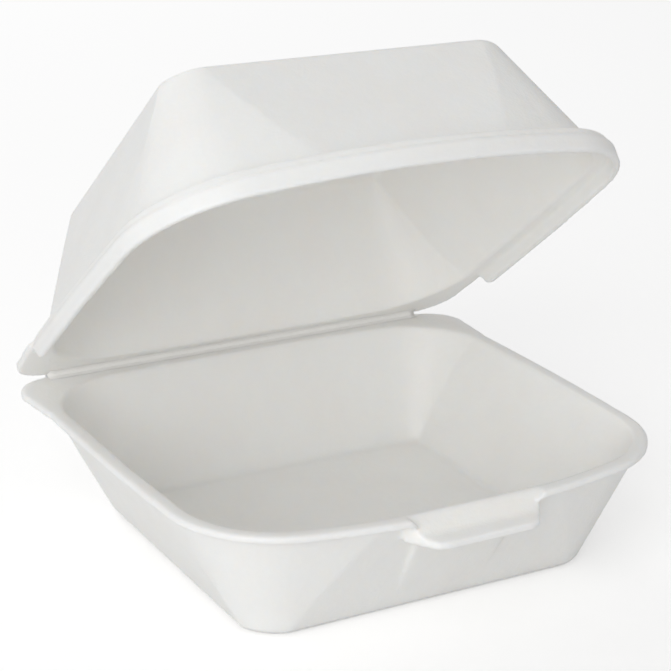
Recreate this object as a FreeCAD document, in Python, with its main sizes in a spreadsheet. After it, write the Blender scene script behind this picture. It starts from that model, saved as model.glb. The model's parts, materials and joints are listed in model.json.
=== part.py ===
"""Hinged foam take-away box: a tray and a lid moulded as one sheet, joined by a living hinge.

The origin is the centre of the tray's underside, +Z is up, +X runs along the hinge and the
hinge is at the back (+Y). The lid is modelled closed, then swung open about the hinge.
"""
import FreeCAD, Part
import math
import os

import Sketcher

# alias, millimetres or degrees, what it measures
SIZES = (
    ("floor_width", 104.0, "tray floor, outside, along the hinge"),
    ("floor_depth", 95.0, "tray floor, outside, hinge to tab"),
    ("floor_edge", 3.5, "rounding of the tray floor's outer edge"),
    ("tray_height", 36.0, "underside to the plane where the halves meet"),
    ("tray_taper", 16.4, "how far the tray's corners lean in from mouth to floor"),
    ("foam", 2.5, "thickness of the floor and of the lid's top"),
    ("wall", 2.8, "thickness of the walls, measured level"),
    ("cavity_inset", 1.6, "from the outer floor edge in to the cavity's floor edge"),
    ("cavity_edge", 3.0, "rounding where a wall meets the floor inside"),
    ("mouth_width", 142.4, "widest outside width of the walls at the mouth"),
    ("mouth_front", 69.3, "origin to the front wall's outside at the mouth"),
    ("mouth_back", 64.9, "origin to the back wall's outside at the mouth"),
    ("widest_at", 21.5, "origin back to where the mouth is widest"),
    ("front_corner", 30.1, "plan radius of the mouth's front corners"),
    ("back_corner", 27.0, "plan radius of the mouth's back corners"),
    ("side_bow", 2.2, "how far the mouth's sides bow outward"),
    ("front_bow", 13.5, "how far the mouth's front bows outward"),
    ("back_bow", 3.4, "how far the mouth's back bows outward"),
    ("panel_side_sag", 0.3, "how deep a side panel cuts the bowed mouth"),
    ("panel_front_sag", 1.5, "how deep the front panel cuts the bowed mouth"),
    ("panel_back_sag", 0.35, "how deep the back panel cuts the bowed mouth"),
    ("parting_gap", 0.3, "gap between the closed halves"),
    ("lip_overhang", 1.4, "tray lip beyond its wall"),
    ("lip_depth", 2.2, "thickness of the tray's lip"),
    ("flange", 2.2, "thickness of the rear flanges"),
    ("skirt_clearance", 0.4, "gap between the tray's lip and the lid's skirt"),
    ("skirt_thickness", 2.0, "thickness of the lid's skirt"),
    ("skirt_drop", 4.4, "how far the skirt hangs below the lid's mouth"),
    ("skirt_end", 34.8, "origin to where the skirt starts to rise"),
    ("skirt_sweep", 4.0, "radius of the S-curve that ends the skirt"),
    ("band_rise", 0.8, "lid's mouth up to the top of the proud band round its rim"),
    ("band_edge", 0.7, "rounding of the band's upper edge"),
    ("shoulder_rise", 3.2, "lid's mouth up to the top of the shoulder above the band"),
    ("shoulder_inset", 1.1, "how far the shoulder stands back from the band"),
    ("shoulder_edge", 1.3, "rounding of the shoulder's upper edge"),
    ("ear_width", 148.0, "overall width of the rear flanges"),
    ("ear_corner", 11.5, "plan radius of the rear flanges' outer corners"),
    ("ear_length", 27.5, "hinge to where the rear flanges run out into the rims"),
    ("hinge_back", 68.7, "origin to the hinge axis"),
    ("hinge_radius", 0.8, "radius of the folded web at the hinge"),
    ("hinge_clearance", 0.2, "gap between the web and the lid's flange"),
    ("lid_height", 40.5, "plane where the halves meet to the lid's top"),
    ("lid_taper", 17.6, "how far the lid's corners lean in from mouth to top"),
    ("top_width", 102.0, "lid top, outside, along the hinge"),
    ("top_depth", 93.0, "lid top, outside, hinge to front"),
    ("top_edge", 3.5, "rounding of the lid top's outer edge"),
    ("tab_foot", 40.0, "width of the tab where it leaves the lip"),
    ("tab_tip", 30.0, "width of the tab at its front edge"),
    ("tab_reach", 4.3, "how far the tab stands out from the lip"),
    ("tab_drop", 4.7, "tab's top below the plane where the halves meet"),
    ("tab_droop", 0.5, "further fall from the tab's root to its front edge"),
    ("tab_thickness", 2.0, "thickness of the tab"),
    ("tab_corner", 4.0, "plan radius of the tab's front corners"),
    ("gusset_width", 30.0, "width of the swelling under the tab, at the tab"),
    ("gusset_foot_width", 26.0, "width of that swelling at its foot"),
    ("gusset_foot", 6.0, "height of the swelling's foot above the underside"),
    ("gusset_depth", 1.4, "how far the swelling stands out at the tab"),
    ("open_angle", 37.8, "opening of the lid as modelled, from closed"),
)

UP = FreeCAD.Vector(0, 0, 1)
RIGHTWARD = FreeCAD.Vector(1, 0, 0)
FORWARD = FreeCAD.Vector(0, -1, 0)
LYING_ALONG_X = FreeCAD.Rotation(FreeCAD.Vector(0, 1, 0), 90)
LEVEL = FreeCAD.Rotation()
FACING_FRONT = FreeCAD.Rotation(RIGHTWARD, 90)
FACING_SIDE = FreeCAD.Rotation(FreeCAD.Vector(1, 1, 1), 120)
TOUCH = 1e-4
START, END, CENTRE = 1, 2, 3
ORIGIN, ROOT_POINT, Y_AXIS = -1, 1, -2

doc = FreeCAD.newDocument("foam_clamshell")
sheet = doc.addObject("Spreadsheet::Sheet", "Sizes")
for row, (alias, amount, meaning) in enumerate(SIZES, start=1):
    sheet.set(f"A{row}", meaning)
    sheet.set(f"B{row}", str(amount))
    sheet.setAlias(f"B{row}", alias)
doc.recompute()


class Size:
    """A length worked out from the sheet: the expression that gives it, and its present value."""

    def __init__(self, text, value):
        self.text = text
        self.value = value

    def _with(self, sign, other, value):
        text = other.text if isinstance(other, Size) else str(other)
        return Size(f"({self.text} {sign} {text})", value)

    def __add__(self, other):
        return self._with("+", other, self.value + number(other))

    def __sub__(self, other):
        return self._with("-", other, self.value - number(other))

    def __mul__(self, other):
        return self._with("*", other, self.value * number(other))

    def __truediv__(self, other):
        return self._with("/", other, self.value / number(other))

    def __neg__(self):
        return Size(f"(0 - {self.text})", -self.value)


def number(amount):
    """Present value of a Size or of a plain number."""
    return amount.value if isinstance(amount, Size) else amount


def size(alias):
    """The Size kept in the sheet under `alias`."""
    return Size(f"Sizes.{alias}", float(sheet.get(alias)))


def bind(thing, **properties):
    """Ties properties of an object to the sheet; a double underscore stands for a dot."""
    for name, amount in properties.items():
        thing.setExpression(name.replace("__", "."), amount.text)


underside = Size("0", 0.0)
tray_top = size("tray_height") - size("parting_gap") / 2
lid_base = size("tray_height") + size("parting_gap") / 2
lid_top = size("tray_height") + size("lid_height")
lip_grow = size("lip_overhang")
hollow_grow = lip_grow + size("skirt_clearance")
skirt_grow = hollow_grow + size("skirt_thickness")
flange_back = size("hinge_back") - size("parting_gap") / 2
hinge_length = size("ear_width") - size("ear_corner") * 2


class Outline:
    """A sketch whose dimensions follow the sheet."""

    def __init__(self, name, level=underside, facing=LEVEL):
        self.sketch = doc.addObject("Sketcher::SketchObject", name)
        self.sketch.Placement.Rotation = facing
        bind(self.sketch, Placement__Base__z=level)

    def line(self, x1, y1, x2, y2):
        """Adds a straight edge and returns its number."""
        ends = FreeCAD.Vector(x1, y1, 0), FreeCAD.Vector(x2, y2, 0)
        return self.sketch.addGeometry(Part.LineSegment(*ends), False)

    def arc(self, x, y, radius, first, last):
        """Adds an arc, anticlockwise from angle `first` to `last`, and returns its number."""
        circle = Part.Circle(FreeCAD.Vector(x, y, 0), UP, radius)
        if last < first:
            last += 2 * math.pi
        return self.sketch.addGeometry(Part.ArcOfCircle(circle, first, last), False)

    def fix(self, kind, *place, amount=None):
        """Adds a constraint; `amount` is the Size that drives it."""
        if amount is None:
            self.sketch.addConstraint(Sketcher.Constraint(kind, *place))
            return
        index = self.sketch.addConstraint(Sketcher.Constraint(kind, *place, amount.value))
        self.sketch.setExpression(f"Constraints[{index}]", amount.text)

    def right_of_origin(self, edge, point, amount):
        """Holds a point `amount` to the right of the origin."""
        self.fix("DistanceX", ORIGIN, ROOT_POINT, edge, point, amount=amount)

    def left_of_origin(self, edge, point, amount):
        """Holds a point `amount` to the left of the origin."""
        self.fix("DistanceX", edge, point, ORIGIN, ROOT_POINT, amount=amount)

    def behind_origin(self, edge, point, amount):
        """Holds a point `amount` behind the origin."""
        self.fix("DistanceY", ORIGIN, ROOT_POINT, edge, point, amount=amount)

    def before_origin(self, edge, point, amount):
        """Holds a point `amount` in front of the origin."""
        self.fix("DistanceY", edge, point, ORIGIN, ROOT_POINT, amount=amount)

    def place(self, edge, point, across, up):
        """Holds a point by its signed distances from the origin."""
        hold_across = self.right_of_origin if across.value > 0 else self.left_of_origin
        hold_up = self.behind_origin if up.value > 0 else self.before_origin
        hold_across(edge, point, outward(across))
        hold_up(edge, point, outward(up))

    def close_smoothly(self, edges):
        """Joins each edge to the next, tangent to it."""
        for edge, following in zip(edges, edges[1:] + edges[:1]):
            self.fix("Tangent", edge, END, following, START)


def polygon(name, corners, facing):
    """Outline with straight sides; each corner is (across, up), both Sizes from the origin."""
    outline = Outline(name, facing=facing)
    ends = [(across.value, up.value) for across, up in corners]
    edges = [outline.line(*first, *second) for first, second in zip(ends, ends[1:] + ends[:1])]
    for edge, following, (across, up) in zip(edges, edges[1:] + edges[:1], corners):
        outline.fix("Coincident", edge, END, following, START)
        outline.place(edge, START, across, up)
    return outline.sketch


def outward(amount):
    """A signed Size as a distance."""
    return amount if amount.value > 0 else -amount


def bow_radius(chord, bow):
    """Radius of the arc that rises by `bow` over a chord."""
    return (chord * chord / 4 + bow * bow) / (bow * 2)


def corner_centre(first, second, radius, toward):
    """Centre of the arc that blends two bowed sides, on the `toward` side of the line of centres."""
    (x1, y1, r1), (x2, y2, r2) = first, second
    near, far = r1 - radius, r2 - radius
    gap = math.hypot(x2 - x1, y2 - y1)
    along = (near * near - far * far + gap * gap) / (2 * gap)
    across = math.sqrt(near * near - along * along)
    step_x, step_y = (x2 - x1) / gap, (y2 - y1) / gap
    options = [(x1 + step_x * along - side * step_y * across, y1 + step_y * along + side * step_x * across)
               for side in (1, -1)]
    return max(options, key=lambda point: point[0] * toward[0] + point[1] * toward[1])


def mouth_outline(name, level, grow):
    """Outline of the mouth, `grow` outside the walls: four bowed sides and four round corners."""
    outline = Outline(name, level)
    half_width = size("mouth_width") / 2 + grow
    front, back = size("mouth_front") + grow, size("mouth_back") + grow
    front_corner, back_corner = size("front_corner") + grow, size("back_corner") + grow
    depth = size("mouth_front") + size("mouth_back")
    side_radius = bow_radius(depth, size("side_bow")) + grow
    front_radius = bow_radius(size("mouth_width"), size("front_bow")) + grow
    back_radius = bow_radius(size("mouth_width"), size("back_bow")) + grow
    side_inset = side_radius - half_width
    widest = size("widest_at")
    sides = (
        (-side_inset.value, widest.value, side_radius.value),
        (0, (back - back_radius).value, back_radius.value),
        (side_inset.value, widest.value, side_radius.value),
        (0, (front_radius - front).value, front_radius.value),
    )
    towards = (1, 1), (-1, 1), (-1, -1), (1, -1)
    corners = back_corner, back_corner, front_corner, front_corner
    centres = [corner_centre(sides[i], sides[(i + 1) % 4], corners[i].value, towards[i]) for i in range(4)]

    def bearing(side, point):
        return math.atan2(point[1] - side[1], point[0] - side[0])

    edges = []
    for i, side in enumerate(sides):
        following = sides[(i + 1) % 4]
        edges.append(outline.arc(*side, bearing(side, centres[i - 1]), bearing(side, centres[i])))
        edges.append(outline.arc(*centres[i], corners[i].value, bearing(side, centres[i]),
                                 bearing(following, centres[i])))
    outline.close_smoothly(edges)
    right, back_edge, left, front_edge = edges[0::2]
    for edge, radius in zip(edges[0::2], (side_radius, back_radius, side_radius, front_radius)):
        outline.fix("Radius", edge, amount=radius)
    for edge, radius in zip(edges[1::2], corners):
        outline.fix("Radius", edge, amount=radius)
    outline.left_of_origin(right, CENTRE, side_inset)
    outline.right_of_origin(left, CENTRE, side_inset)
    for edge in (right, left):
        outline.behind_origin(edge, CENTRE, widest)
    for edge in (back_edge, front_edge):
        outline.fix("PointOnObject", edge, CENTRE, Y_AXIS)
    outline.before_origin(back_edge, CENTRE, back_radius - back)
    outline.behind_origin(front_edge, CENTRE, front_radius - front)
    return outline.sketch


def loft(name, *sections):
    """Ruled solid between two level outlines."""
    solid = doc.addObject("Part::Loft", name)
    solid.Sections = list(sections)
    solid.Solid = True
    solid.Ruled = True
    return solid


def prism(name, outline, height, direction=UP, both_ways=False):
    """Solid on an outline, upright unless a direction is given, or half of it each way."""
    solid = doc.addObject("Part::Extrusion", name)
    solid.Base = outline
    solid.DirMode = "Custom"
    solid.Dir = direction
    solid.Solid = True
    solid.Symmetric = both_ways
    bind(solid, LengthFwd=height)
    return solid


def frustum(name, low, high, low_half, high_half):
    """Four flat panels between two levels; each half is (side, back, front) from the origin."""
    solid = doc.addObject("Part::Wedge", name)
    solid.Placement.Rotation = FACING_FRONT
    bind(solid, Ymin=low, Ymax=high,
         Xmin=-low_half[0], Xmax=low_half[0], Zmin=-low_half[1], Zmax=low_half[2],
         X2min=-high_half[0], X2max=high_half[0], Z2min=-high_half[1], Z2max=high_half[2])
    return solid


def rounded(name, base, radius, chosen):
    """Rounds the edges of `base` that `chosen` picks, all by the same radius."""
    doc.recompute()
    fillet = doc.addObject("Part::Fillet", name)
    fillet.Base = base
    fillet.Edges = [(i, radius.value, radius.value) for i, edge in enumerate(base.Shape.Edges, start=1)
                    if chosen(edge)]
    return fillet


def common(name, first, second):
    """What two solids share."""
    solid = doc.addObject("Part::Common", name)
    solid.Base, solid.Tool = first, second
    return solid


def cut(name, base, tool):
    """A solid less another."""
    solid = doc.addObject("Part::Cut", name)
    solid.Base, solid.Tool = base, tool
    return solid


def fuse(name, *solids):
    """Several solids as one."""
    solid = doc.addObject("Part::MultiFuse", name)
    solid.Shapes = list(solids)
    return solid


def at_level(level):
    """Picks edges that lie wholly at one level."""
    def chosen(edge):
        bounds = edge.BoundBox
        return max(abs(bounds.ZMin - level.value), abs(bounds.ZMax - level.value)) < TOUCH
    return chosen


def upright_at(depth):
    """Picks upright straight edges at one distance from the origin along Y."""
    def chosen(edge):
        bounds = edge.BoundBox
        return bounds.ZLength > TOUCH > bounds.YLength and abs(bounds.YMin - depth.value) < TOUCH
    return chosen


def tapered_form(label, straight_half, straight_level, mouth_level, taper, inset, edge):
    """Form of a half, `inset` inside its walls: a leaning bowed outline cut by four flat panels.

    The straight-sided end is rounded by `edge`, on the leaning corners and on the panels alike.
    """
    straight_end = mouth_outline(f"{label}_end_outline", straight_level, -taper)
    mouth = mouth_outline(f"{label}_mouth_outline", mouth_level, -inset)
    leaning = rounded(f"{label}_corners", loft(f"{label}_loft", straight_end, mouth), edge,
                      at_level(straight_level))
    bowed_half = (size("mouth_width") / 2 - size("panel_side_sag") - inset,
                  size("mouth_back") - size("panel_back_sag") - inset,
                  size("mouth_front") - size("panel_front_sag") - inset)
    if straight_level.value < mouth_level.value:
        block = frustum(f"{label}_block", straight_level, mouth_level, straight_half, bowed_half)
    else:
        block = frustum(f"{label}_block", mouth_level, straight_level, bowed_half, straight_half)
    flat = rounded(f"{label}_panels", block, edge, at_level(straight_level))
    return common(f"{label}_form", leaning, flat)


def half_shell(label, width, depth, taper, straight_level, mouth_level, inner_level, edge):
    """Outer form and cavity of one half, from its straight-sided end to its bowed mouth."""
    inset = size("cavity_inset")
    outer_half = width / 2, depth / 2, depth / 2
    inner_half = tuple(half - inset for half in outer_half)
    form = tapered_form(label, outer_half, straight_level, mouth_level, taper, underside, edge)
    cavity = tapered_form(f"{label}_cavity", inner_half, inner_level, mouth_level, taper + inset,
                          size("wall"), size("cavity_edge"))
    return form, cavity


def rear_flange(name, low, rim_grow):
    """Flat flange along the hinge; its rounded ears run out forward into the rim beside them."""
    half, corner = size("ear_width") / 2, size("ear_corner")
    rim_half = size("mouth_width") / 2 + rim_grow
    front = flange_back - size("ear_length")
    outline = Outline(f"{name}_outline", low)
    reach, radius, back = half.value, corner.value, flange_back.value
    quarter = math.pi / 2
    right = outline.line(rim_half.value, front.value, reach, back - radius)
    back_right = outline.arc(reach - radius, back - radius, radius, 0, quarter)
    rear = outline.line(reach - radius, back, radius - reach, back)
    back_left = outline.arc(radius - reach, back - radius, radius, quarter, 2 * quarter)
    left = outline.line(-reach, back - radius, -rim_half.value, front.value)
    across = outline.line(-rim_half.value, front.value, rim_half.value, front.value)
    edges = [right, back_right, rear, back_left, left, across]
    for edge, following in zip(edges, edges[1:] + edges[:1]):
        outline.fix("Coincident", edge, END, following, START)
    for edge in (back_right, back_left):
        outline.fix("Radius", edge, amount=corner)
    outline.place(right, END, half, flange_back - corner)
    outline.place(left, START, -half, flange_back - corner)
    outline.place(rear, START, half - corner, flange_back)
    outline.place(rear, END, corner - half, flange_back)
    outline.place(across, START, -rim_half, front)
    outline.place(across, END, rim_half, front)
    return prism(name, outline.sketch, size("flange"))


def hinge_rod(name, radius):
    """Rod along the hinge axis."""
    rod = doc.addObject("Part::Cylinder", name)
    rod.Placement.Rotation = LYING_ALONG_X
    bind(rod, Radius=radius, Height=hinge_length, Placement__Base__x=-hinge_length / 2,
         Placement__Base__y=size("hinge_back"), Placement__Base__z=size("tray_height"))
    return rod


def front_tab():
    """Tab that the lip runs down into: its solid, the swelling under it and the cutter for the dip."""
    lip_front = size("mouth_front") + lip_grow
    inner_front = size("mouth_front") - size("wall")
    tip_front = lip_front + size("tab_reach")
    root_front = lip_front - size("skirt_clearance")
    root_top = size("tray_height") - size("tab_drop")
    tip_top = root_top - size("tab_droop")
    tip_low = tip_top - size("tab_thickness")
    panel_front = size("mouth_front") - size("panel_front_sag")
    slope = (panel_front - size("floor_depth") / 2) / size("tray_height")
    wall_front = size("floor_depth") / 2 + slope * tip_low
    wall_middle = wall_front - size("wall") / 2
    foot, tip = size("tab_foot") / 2, size("tab_tip") / 2

    profile = polygon("tab_profile", (
        (-inner_front, tray_top), (-root_front, root_top), (-tip_front, tip_top),
        (-tip_front, tip_low), (-wall_middle, tip_low), (-wall_middle, tray_top)), FACING_SIDE)
    bar = prism("tab_bar", profile, size("tab_foot"), RIGHTWARD, both_ways=True)
    plan = polygon("tab_plan", ((foot, -wall_middle), (foot, -inner_front), (tip, -tip_front),
                                (-tip, -tip_front), (-foot, -inner_front), (-foot, -wall_middle)), LEVEL)
    block = rounded("tab_block", prism("tab_plan_block", plan, tray_top), size("tab_corner"),
                    upright_at(-tip_front))
    tab = common("tab", bar, block)

    dip_profile = polygon("dip_profile", (
        (-inner_front, tray_top), (-root_front, root_top), (-tip_front, root_top),
        (-tip_front, lid_base), (-inner_front, lid_base)), FACING_SIDE)
    dip_bar = prism("dip_bar", dip_profile, size("ear_width"), RIGHTWARD, both_ways=True)
    dip_front = polygon("dip_front", ((foot, lid_base), (foot, tray_top), (tip, root_top),
                                      (-tip, root_top), (-foot, tray_top), (-foot, lid_base)), FACING_FRONT)
    dip_block = prism("dip_block", dip_front, tip_front * 2, FORWARD, both_ways=True)
    dip = common("tab_dip", dip_bar, dip_block)

    wide, narrow = size("gusset_width") / 2, size("gusset_foot_width") / 2
    base_y = size("floor_depth") / 2
    swelling = doc.addObject("Part::Wedge", "tab_swelling")
    swelling.Placement.Rotation = FACING_FRONT
    bind(swelling, Ymin=size("gusset_foot"), Ymax=tip_low,
         Xmin=-narrow, Xmax=narrow,
         Zmin=base_y - size("cavity_inset"), Zmax=base_y + slope * size("gusset_foot"),
         X2min=-wide, X2max=wide, Z2min=wall_middle, Z2max=wall_front + size("gusset_depth"))
    return tab, swelling, dip


def build_tray():
    """The tray: walls and floor, lip, rear flange with the hinge web, and the tab."""
    form, cavity = half_shell("tray", size("floor_width"), size("floor_depth"), size("tray_taper"),
                              underside, tray_top, size("foam"), size("floor_edge"))
    lip_outline = mouth_outline("tray_lip_outline", tray_top - size("lip_depth"), lip_grow)
    lip = prism("tray_lip", lip_outline, size("lip_depth"))
    flange = rear_flange("tray_flange", tray_top - size("flange"), lip_grow)
    web = hinge_rod("hinge_web", size("hinge_radius"))
    tab, swelling, dip = front_tab()
    rim = cut("tray_dipped", fuse("tray_rimmed", form, lip, flange, web), dip)
    return cut("tray_shell", fuse("tray_solid", rim, tab, swelling), cavity)


def skirt_relief():
    """Cutter that ends the skirt in an S-curve on both sides, clear of the rear flange."""
    radius, drop = size("skirt_sweep"), size("skirt_drop")
    turn = math.acos(1 - drop.value / (2 * radius.value))
    run = 2 * radius.value * math.sin(turn)
    low_level, deep_level = lid_base - drop, lid_base - drop * 2
    rear_at = size("hinge_back") + size("ear_corner")
    start_y, low, high = size("skirt_end").value, low_level.value, lid_base.value
    far, deep = rear_at.value, deep_level.value

    outline = Outline("skirt_relief_outline", facing=FACING_SIDE)
    down, quarter = 3 * math.pi / 2, math.pi / 2
    first = outline.arc(start_y, low + radius.value, radius.value, down, down + turn)
    second = outline.arc(start_y + run, high - radius.value, radius.value, quarter, quarter + turn)
    top = outline.line(start_y + run, high, far, high)
    rear = outline.line(far, high, far, deep)
    under = outline.line(far, deep, start_y, deep)
    front = outline.line(start_y, deep, start_y, low)
    outline.fix("Tangent", first, END, second, END)
    outline.fix("Tangent", second, START, top, START)
    for edge, following in ((top, rear), (rear, under), (under, front), (front, first)):
        outline.fix("Coincident", edge, END, following, START)
    for edge in (top, under):
        outline.fix("Horizontal", edge)
    for edge in (rear, front):
        outline.fix("Vertical", edge)
    outline.fix("Vertical", first, START, first, CENTRE)
    for edge in (first, second):
        outline.fix("Radius", edge, amount=radius)
    outline.place(front, END, size("skirt_end"), low_level)
    outline.place(rear, START, rear_at, lid_base)
    outline.behind_origin(under, START, deep_level)
    return prism("skirt_relief", outline.sketch, size("ear_width") + skirt_grow * 2,
                 RIGHTWARD, both_ways=True)


def lid_rim(skirt_low):
    """Rim of the lid: a proud band above its skirt and a narrower shoulder on the band."""
    band_top = lid_base + size("band_rise")
    shoulder_top = lid_base + size("shoulder_rise")
    band_outline = mouth_outline("lid_band_outline", skirt_low, skirt_grow)
    band = rounded("lid_band", prism("lid_band_block", band_outline, band_top - skirt_low),
                   size("band_edge"), at_level(band_top))
    shoulder_outline = mouth_outline("lid_shoulder_outline", skirt_low, skirt_grow - size("shoulder_inset"))
    shoulder_block = prism("lid_shoulder_block", shoulder_outline, shoulder_top - skirt_low)
    shoulder = rounded("lid_shoulder", shoulder_block, size("shoulder_edge"), at_level(shoulder_top))
    hollow = prism("lid_skirt_hollow", mouth_outline("lid_hollow_outline", skirt_low, hollow_grow),
                   size("skirt_drop"))
    cutters = fuse("lid_rim_cutters", hollow, skirt_relief())
    return cut("lid_rim", fuse("lid_rim_solid", band, shoulder), cutters)


def build_lid():
    """The closed lid: walls and top, rim and skirt, and its rear flange."""
    form, cavity = half_shell("lid", size("top_width"), size("top_depth"), size("lid_taper"),
                              lid_top, lid_base, lid_top - size("foam"), size("top_edge"))
    rim = lid_rim(lid_base - size("skirt_drop"))
    flange = rear_flange("lid_flange", lid_base, skirt_grow)
    solid = fuse("lid_solid", form, rim, flange)
    socket = hinge_rod("hinge_socket", size("hinge_radius") + size("hinge_clearance"))
    return cut("lid_shell", solid, fuse("lid_cutters", cavity, socket))


def make_body(label, shell):
    """Body that holds a finished half."""
    body = doc.addObject("PartDesign::Body", label)
    body.Label = label
    body.BaseFeature = shell
    return body


tray = make_body("tray", build_tray())
lid = make_body("lid", build_lid())
doc.recompute()

# The open lid turns about the hinge axis, which lies along X.
axis = FreeCAD.Vector(0, size("hinge_back").value, size("tray_height").value)
swing = FreeCAD.Rotation(RIGHTWARD, -size("open_angle").value)
lid.Placement = FreeCAD.Placement(FreeCAD.Vector(), swing, axis)
doc.recompute()

for thing in doc.Objects:
    if "Invalid" in thing.State or "Error" in thing.State:
        raise RuntimeError(f"{thing.Name} failed: {thing.State}")

os.makedirs("parts", exist_ok=True)
for piece in (tray, lid):
    shape = piece.Shape
    if shape.isNull() or not shape.isValid() or len(shape.Solids) != 1:
        raise RuntimeError(f"{piece.Label} is not one valid solid")
    shape.exportStep(f"parts/{piece.Label}.step")
    print(piece.Label, round(shape.Volume), "mm3", shape.BoundBox)
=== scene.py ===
"""Looks of a hinged foam take-away box: a tray, a lid and the thin web that joins them.

The two halves come from the fixed frame. Each gets the soft edges of moulded foam sheet and a
foam finish, on a pale studio floor, seen from the photograph's side.
"""
import json
import logging
import math
from dataclasses import dataclass, field
from enum import Enum

import bpy
from mathutils import Matrix, Vector

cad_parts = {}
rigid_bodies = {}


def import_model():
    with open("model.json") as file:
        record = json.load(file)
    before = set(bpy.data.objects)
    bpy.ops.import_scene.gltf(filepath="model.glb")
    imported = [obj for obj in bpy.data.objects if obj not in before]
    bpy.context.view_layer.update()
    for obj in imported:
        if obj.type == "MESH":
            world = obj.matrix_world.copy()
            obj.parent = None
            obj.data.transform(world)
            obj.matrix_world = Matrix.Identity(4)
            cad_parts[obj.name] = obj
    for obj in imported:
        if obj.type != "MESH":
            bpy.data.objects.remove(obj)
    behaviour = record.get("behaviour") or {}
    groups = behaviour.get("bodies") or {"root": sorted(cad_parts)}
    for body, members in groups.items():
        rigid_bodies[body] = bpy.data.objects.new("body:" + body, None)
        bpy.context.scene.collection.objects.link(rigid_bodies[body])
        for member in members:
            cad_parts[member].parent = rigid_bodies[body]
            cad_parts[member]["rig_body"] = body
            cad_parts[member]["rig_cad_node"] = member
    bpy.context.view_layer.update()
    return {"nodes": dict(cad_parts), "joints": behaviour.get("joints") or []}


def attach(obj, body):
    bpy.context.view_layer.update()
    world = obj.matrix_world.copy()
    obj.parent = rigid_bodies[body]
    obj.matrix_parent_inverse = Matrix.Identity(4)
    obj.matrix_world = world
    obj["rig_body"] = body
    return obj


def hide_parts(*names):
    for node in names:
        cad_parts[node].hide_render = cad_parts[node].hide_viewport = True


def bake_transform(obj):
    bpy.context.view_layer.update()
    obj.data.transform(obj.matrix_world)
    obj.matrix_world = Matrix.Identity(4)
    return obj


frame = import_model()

MM = 0.001
OPAQUE = 1.0
QUARTER_TURN = math.radians(90.0)
HALF_TURN = math.radians(180.0)
LOG = logging.getLogger("foam_box")

Colour = tuple[float, float, float]
Point = tuple[float, float, float]


class Body(Enum):
    """The bodies that pieces ride on."""

    TRAY = "tray"
    LID = "lid"


class NodeKit:
    """A short way to lay out the nodes of one material."""

    def __init__(self, name: str) -> None:
        """Starts an empty node material.

        Args:
            name: Name of the material.
        """
        self.material = bpy.data.materials.new(name)
        self.material.use_nodes = True
        self.tree = self.material.node_tree
        self.tree.nodes.clear()

    def add(self, kind: str, **settings: object) -> bpy.types.Node:
        """Adds a node.

        Args:
            kind: Blender's type name, without its ShaderNode prefix.
            **settings: Properties of the node.

        Returns:
            The new node.
        """
        node = self.tree.nodes.new(f"ShaderNode{kind}")
        for key, value in settings.items():
            setattr(node, key, value)
        return node

    def join(self, source: bpy.types.NodeSocket, target: bpy.types.NodeSocket) -> None:
        """Links two sockets.

        Args:
            source: Output socket that the value comes from.
            target: Input socket that takes it.
        """
        self.tree.links.new(source, target)

    def finish(self, shader: bpy.types.NodeSocket) -> bpy.types.Material:
        """Ends the material in a shader.

        Args:
            shader: Shader socket for the surface.

        Returns:
            The material.
        """
        output = self.add("OutputMaterial")
        self.join(shader, output.inputs["Surface"])
        return self.material


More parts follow.
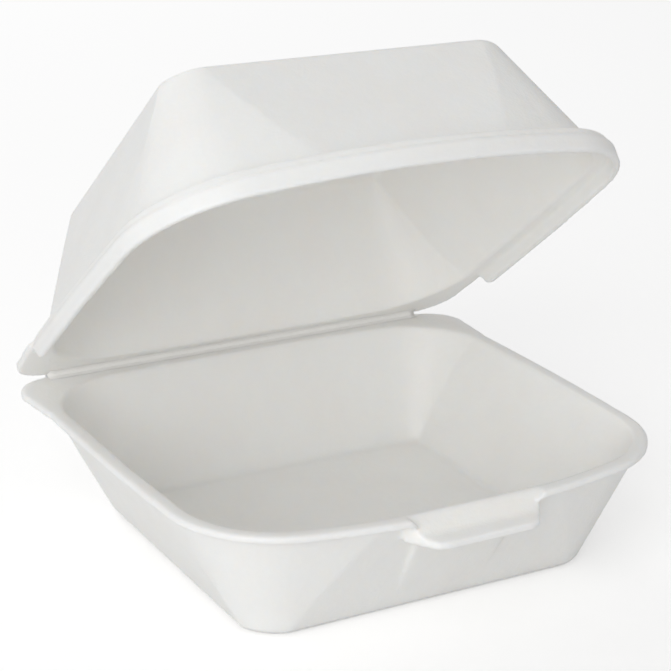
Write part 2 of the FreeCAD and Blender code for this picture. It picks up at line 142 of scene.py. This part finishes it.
@dataclass(frozen=True)
class FoamFinish:
    """Skin of expanded polystyrene sheet: near white, satin, with flattened cells under it."""

    name: str
    colour: Colour = (0.93, 0.92, 0.895)
    shade: Colour = (0.895, 0.885, 0.86)
    roughness_low: float = 0.34
    roughness_high: float = 0.52
    specular: float = 0.5
    scatter: float = 0.9
    scatter_depth: float = 4.0 * MM
    scatter_reach: Colour = (1.0, 0.9, 0.8)
    cell: float = 0.9 * MM
    cell_height: float = 0.035 * MM
    pucker: float = 3.2 * MM
    pucker_height: float = 0.16 * MM
    pucker_detail: float = 3.0
    pucker_roughness: float = 0.45
    gloss_from: float = 0.3
    gloss_to: float = 0.7
    drift: float = 26.0 * MM
    drift_detail: float = 2.0
    blotch_from: float = 0.42
    blotch_to: float = 0.72
    blotch_share: float = 0.7

    def material(self) -> bpy.types.Material:
        """Builds the material.

        Returns:
            The foam's material, laid out on Object coordinates.
        """
        kit = NodeKit(self.name)
        place = kit.add("TexCoord").outputs["Object"]
        cells = kit.add("TexVoronoi", feature="F1")
        cells.inputs["Scale"].default_value = 1 / self.cell
        puckers = kit.add("TexNoise")
        puckers.inputs["Scale"].default_value = 1 / self.pucker
        puckers.inputs["Detail"].default_value = self.pucker_detail
        puckers.inputs["Roughness"].default_value = self.pucker_roughness
        drift = kit.add("TexNoise")
        drift.inputs["Scale"].default_value = 1 / self.drift
        drift.inputs["Detail"].default_value = self.drift_detail
        for pattern in (cells, puckers, drift):
            kit.join(place, pattern.inputs["Vector"])

        tint = kit.add("Mix", data_type="RGBA")
        tint.inputs["A"].default_value = (*self.colour, OPAQUE)
        tint.inputs["B"].default_value = (*self.shade, OPAQUE)
        blotch = kit.add("MapRange")
        blotch.inputs["From Min"].default_value = self.blotch_from
        blotch.inputs["From Max"].default_value = self.blotch_to
        blotch.inputs["To Max"].default_value = self.blotch_share
        kit.join(drift.outputs["Fac"], blotch.inputs["Value"])
        kit.join(blotch.outputs["Result"], tint.inputs["Factor"])

        gloss = kit.add("MapRange")
        gloss.inputs["From Min"].default_value = self.gloss_from
        gloss.inputs["From Max"].default_value = self.gloss_to
        gloss.inputs["To Min"].default_value = self.roughness_low
        gloss.inputs["To Max"].default_value = self.roughness_high
        kit.join(puckers.outputs["Fac"], gloss.inputs["Value"])

        waves = kit.add("Math", operation="MULTIPLY")
        waves.inputs[1].default_value = self.pucker_height / self.cell_height
        kit.join(puckers.outputs["Fac"], waves.inputs[0])
        heights = kit.add("Math", operation="ADD")
        kit.join(waves.outputs["Value"], heights.inputs[0])
        kit.join(cells.outputs["Distance"], heights.inputs[1])
        grain = kit.add("Bump")
        grain.inputs["Distance"].default_value = self.cell_height
        kit.join(heights.outputs["Value"], grain.inputs["Height"])

        foam = kit.add("BsdfPrincipled")
        foam.inputs["Specular IOR Level"].default_value = self.specular
        foam.inputs["Subsurface Weight"].default_value = self.scatter
        foam.inputs["Subsurface Radius"].default_value = self.scatter_reach
        foam.inputs["Subsurface Scale"].default_value = self.scatter_depth
        kit.join(tint.outputs["Result"], foam.inputs["Base Color"])
        kit.join(gloss.outputs["Result"], foam.inputs["Roughness"])
        kit.join(grain.outputs["Normal"], foam.inputs["Normal"])
        return kit.finish(foam.outputs["BSDF"])


@dataclass(frozen=True)
class FloorFinish:
    """Plain pale floor that the camera sees as white away from the shadow."""

    name: str = "studio_floor"
    colour: Colour = (0.86, 0.86, 0.86)
    lift: float = 0.34

    def material(self) -> bpy.types.Material:
        """Builds the material.

        Returns:
            A matt floor with a lift that only the camera sees.
        """
        kit = NodeKit(self.name)
        matt = kit.add("BsdfDiffuse")
        matt.inputs["Color"].default_value = (*self.colour, OPAQUE)
        glow = kit.add("Emission")
        glow.inputs["Strength"].default_value = self.lift
        path = kit.add("LightPath")
        seen = kit.add("MixShader")
        both = kit.add("AddShader")
        kit.join(matt.outputs["BSDF"], both.inputs[0])
        kit.join(glow.outputs["Emission"], both.inputs[1])
        kit.join(path.outputs["Is Camera Ray"], seen.inputs["Fac"])
        kit.join(matt.outputs["BSDF"], seen.inputs[1])
        kit.join(both.outputs["Shader"], seen.inputs[2])
        return kit.finish(seen.outputs["Shader"])


def choose_only(thing: bpy.types.Object) -> None:
    """Deselects everything, then selects one object and makes it active.

    Args:
        thing: The object to work on.
    """
    bpy.ops.object.select_all(action="DESELECT")
    thing.select_set(True)
    bpy.context.view_layer.objects.active = thing


def dress(piece: bpy.types.Object, material: bpy.types.Material, body: Body) -> None:
    """Gives a piece its material and its body.

    Args:
        piece: The finished piece.
        material: Its material.
        body: The body that it rides on.
    """
    piece.data.materials.clear()
    piece.data.materials.append(material)
    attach(piece, body.value)
    LOG.info("%s: %d faces on %s", piece.name, len(piece.data.polygons), body.value)


@dataclass
class MouldedHalf:
    """One half of the box, with the edges of moulded foam: nothing on it is sharp."""

    body: Body
    name: str
    finish: FoamFinish
    grain: float = 0.6 * MM
    merge: float = 0.002 * MM
    relax: float = 0.5
    relax_steps: int = 2
    kept_share: float = 0.36

    def build(self) -> bpy.types.Object:
        """Copies the half's solid and softens every edge.

        Returns:
            The dressed half, which stands for its solid.
        """
        node = frame["nodes"][self.body.value]
        choose_only(node)
        bpy.ops.object.duplicate()
        piece = bpy.context.active_object
        piece.name = self.name
        piece.data.name = self.name
        bpy.ops.object.mode_set(mode="EDIT")
        bpy.ops.mesh.select_all(action="SELECT")
        bpy.ops.mesh.remove_doubles(threshold=self.merge)
        bpy.ops.object.mode_set(mode="OBJECT")
        self._soften(piece)
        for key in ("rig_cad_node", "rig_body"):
            if key in piece:
                del piece[key]
        dress(piece, self.finish.material(), self.body)
        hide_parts(self.body.value)
        return piece

    def _soften(self, piece: bpy.types.Object) -> None:
        """Rebuilds the surface as an even skin and relaxes it.

        Args:
            piece: The copied half.
        """
        skin = piece.modifiers.new("even_skin", "REMESH")
        skin.mode = "VOXEL"
        skin.voxel_size = self.grain
        skin.use_smooth_shade = True
        relax = piece.modifiers.new("relax", "SMOOTH")
        relax.factor = self.relax
        relax.iterations = self.relax_steps
        thin = piece.modifiers.new("thin", "DECIMATE")
        thin.ratio = self.kept_share
        for modifier in (skin.name, relax.name, thin.name):
            bpy.ops.object.modifier_apply(modifier=modifier)
        bpy.ops.object.shade_smooth()


@dataclass
class HingeWeb:
    """The thin foam between the halves: it lies on both flanges and folds along the hinge."""

    finish: FoamFinish
    pivot: Point
    opening: float = math.radians(37.8)
    half_length: float = 62.5 * MM
    name: str = "foam_hinge"
    overlap: float = 3.4 * MM
    fold: float = 1.5 * MM
    back_radius: float = 1.05 * MM
    skin: float = 0.05 * MM
    gap: float = 0.15 * MM
    outer_rise: float = 1.2 * MM
    depth: float = 0.8 * MM
    bend_reach: float = 1.9 * MM
    segments: int = 60
    turns: int = 6

    def _towards(self, angle: float, along: float, off: float) -> tuple[float, float]:
        """Finds a place in the section from a direction that leaves the hinge to the front.

        Args:
            angle: Height of the direction above level, in radians.
            along: Distance along it.
            off: Distance square to it, upwards.

        Returns:
            The place as Y and Z.
        """
        across = self.pivot[1] - along * math.cos(angle) + off * math.sin(angle)
        return across, self.pivot[2] + along * math.sin(angle) + off * math.cos(angle)

    def section(self) -> list[tuple[float, float]]:
        """Works out the closed section of the web, from the tray's flange to the lid's and back.

        Returns:
            The section's places as Y and Z.
        """
        inner_tray = self._towards(0.0, self.overlap, -self.gap + self.skin)
        inner_lid = self._towards(self.opening, self.overlap, self.gap - self.skin)
        folds = [self._towards(self.opening * step / self.turns, self.fold, 0.0)
                 for step in range(self.turns + 1)]
        buried_lid = self._towards(self.opening, self.overlap, self.depth)
        outer_lid = self._towards(self.opening, self.gap - self.skin, self.outer_rise)
        first = QUARTER_TURN + self.opening
        sweep = HALF_TURN - self.opening
        back = [self._towards(first + sweep * step / self.turns, self.back_radius, 0.0)
                for step in range(1, self.turns)]
        outer_tray = self._towards(0.0, self.gap - self.skin, -self.outer_rise)
        buried_tray = self._towards(0.0, self.overlap, -self.depth)
        return [inner_tray, *folds, inner_lid, buried_lid, outer_lid, *back, outer_tray, buried_tray]

    def build(self) -> bpy.types.Object:
        """Draws the section along the hinge.

        Returns:
            The dressed web.
        """
        section = self.section()
        ring = len(section)
        step = 2.0 * self.half_length / self.segments
        points = [(step * i - self.half_length, y, z)
                  for i in range(self.segments + 1) for y, z in section]
        faces = []
        for start in range(0, ring * self.segments, ring):
            for j in range(ring):
                following = (j + 1) % ring
                faces.append((start + j, start + following, start + ring + following, start + ring + j))
        last = ring * self.segments
        faces.append(tuple(reversed(range(ring))))
        faces.append(tuple(range(last, last + ring)))
        mesh = bpy.data.meshes.new(self.name)
        mesh.from_pydata(points, [], faces)
        web = bpy.data.objects.new(self.name, mesh)
        bpy.context.collection.objects.link(web)
        choose_only(web)
        bpy.ops.object.mode_set(mode="EDIT")
        bpy.ops.mesh.select_all(action="SELECT")
        bpy.ops.mesh.normals_make_consistent(inside=False)
        bpy.ops.object.mode_set(mode="OBJECT")
        bpy.ops.object.shade_smooth()
        web.data.materials.append(self.finish.material())
        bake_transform(web)
        return web


@dataclass
class PhotographView:
    """Camera at the photograph's place, worked out from the box's own edges."""

    azimuth: float = -28.973
    elevation: float = 19.208
    roll: float = 0.501
    distance: float = 556.506 * MM
    lens: float = 106.896
    sensor: float = 36.0
    aim_right: float = -3.073 * MM
    aim_up: float = 18.585 * MM
    middle: Point = (0.0, 0.0, 0.040)

    def build(self) -> bpy.types.Object:
        """Places the camera.

        Returns:
            The scene's camera.
        """
        azimuth, elevation, roll = (math.radians(a) for a in (self.azimuth, self.elevation, self.roll))
        back = Vector((math.sin(azimuth) * math.cos(elevation), -math.cos(azimuth) * math.cos(elevation),
                       math.sin(elevation)))
        right = Vector((math.cos(azimuth), math.sin(azimuth), 0.0))
        up = back.cross(right)
        target = Vector(self.middle) + right * self.aim_right + up * self.aim_up
        turned_right = right * math.cos(roll) + up * math.sin(roll)
        turned_up = up * math.cos(roll) - right * math.sin(roll)
        bpy.ops.object.camera_add(location=target + back * self.distance)
        camera = bpy.context.active_object
        camera.name = "photograph_view"
        camera.rotation_euler = Matrix((turned_right, turned_up, back)).transposed().to_euler()
        camera.data.lens = self.lens
        camera.data.sensor_width = self.sensor
        bpy.context.scene.camera = camera
        return camera


@dataclass(frozen=True)
class SoftLamp:
    """One square soft lamp."""

    name: str
    place: Point
    side: float
    watts: float
    colour: Colour = (1.0, 1.0, 1.0)


@dataclass
class Studio:
    """Pale floor, soft lamps and an even sky."""

    aim: Point = (0.0, 0.0, 0.05)
    floor_side: float = 14.0
    sky: Colour = (1.0, 1.0, 1.0)
    sky_strength: float = 0.48
    lamps: tuple[SoftLamp, ...] = field(default_factory=lambda: (
        SoftLamp("key_lamp", place=(-1.0, -0.8, 1.6), side=1.1, watts=2.5, colour=(1.0, 0.985, 0.96)),
        SoftLamp("front_lamp", place=(-1.1, -0.95, 0.45), side=1.2, watts=12.0),
        SoftLamp("fill_lamp", place=(1.5, -1.1, 0.8), side=1.4, watts=0.5),
        SoftLamp("back_lamp", place=(0.1, 1.5, 1.3), side=1.2, watts=6.0),
    ))

    def build(self) -> None:
        """Builds the floor, the lamps and the sky."""
        bpy.ops.mesh.primitive_plane_add(size=self.floor_side)
        floor = bpy.context.active_object
        floor.name = "studio_floor"
        floor.data.materials.append(FloorFinish().material())
        for lamp in self.lamps:
            self._lamp(lamp)
        self._sky()

    def _lamp(self, lamp: SoftLamp) -> None:
        """Adds one lamp that points at the box.

        Args:
            lamp: Its place, size and power.
        """
        bpy.ops.object.light_add(type="AREA", location=lamp.place)
        light = bpy.context.active_object
        light.name = lamp.name
        light.data.shape = "SQUARE"
        light.data.size = lamp.side
        light.data.energy = lamp.watts
        light.data.color = lamp.colour
        away = Vector(lamp.place) - Vector(self.aim)
        light.rotation_euler = away.to_track_quat("Z", "Y").to_euler()

    def _sky(self) -> None:
        """Sets an even sky that the camera sees as white and that lights the box more softly."""
        world = bpy.data.worlds.new("studio_sky")
        world.use_nodes = True
        bpy.context.scene.world = world
        tree = world.node_tree
        tree.nodes.clear()
        path = tree.nodes.new("ShaderNodeLightPath")
        strength = tree.nodes.new("ShaderNodeMapRange")
        strength.inputs["To Min"].default_value = self.sky_strength
        strength.inputs["To Max"].default_value = 1.0
        sky = tree.nodes.new("ShaderNodeBackground")
        sky.inputs["Color"].default_value = (*self.sky, OPAQUE)
        output = tree.nodes.new("ShaderNodeOutputWorld")
        tree.links.new(path.outputs["Is Camera Ray"], strength.inputs["Value"])
        tree.links.new(strength.outputs["Result"], sky.inputs["Strength"])
        tree.links.new(sky.outputs["Background"], output.inputs["Surface"])


def main() -> None:
    """Builds the view, the studio and the box."""
    logging.basicConfig(level=logging.INFO, format="%(name)s: %(message)s")
    PhotographView().build()
    Studio().build()
    MouldedHalf(Body.TRAY, "foam_tray", FoamFinish("tray_foam_skin")).build()
    MouldedHalf(Body.LID, "foam_lid", FoamFinish("lid_foam_skin")).build()
    pivot = tuple(frame["joints"][0]["pos_m"])
    HingeWeb(FoamFinish("hinge_foam_skin", scatter=0.0), pivot).build()
    bpy.context.scene.view_settings.view_transform = "Standard"


if __name__ == "__main__":
    main()
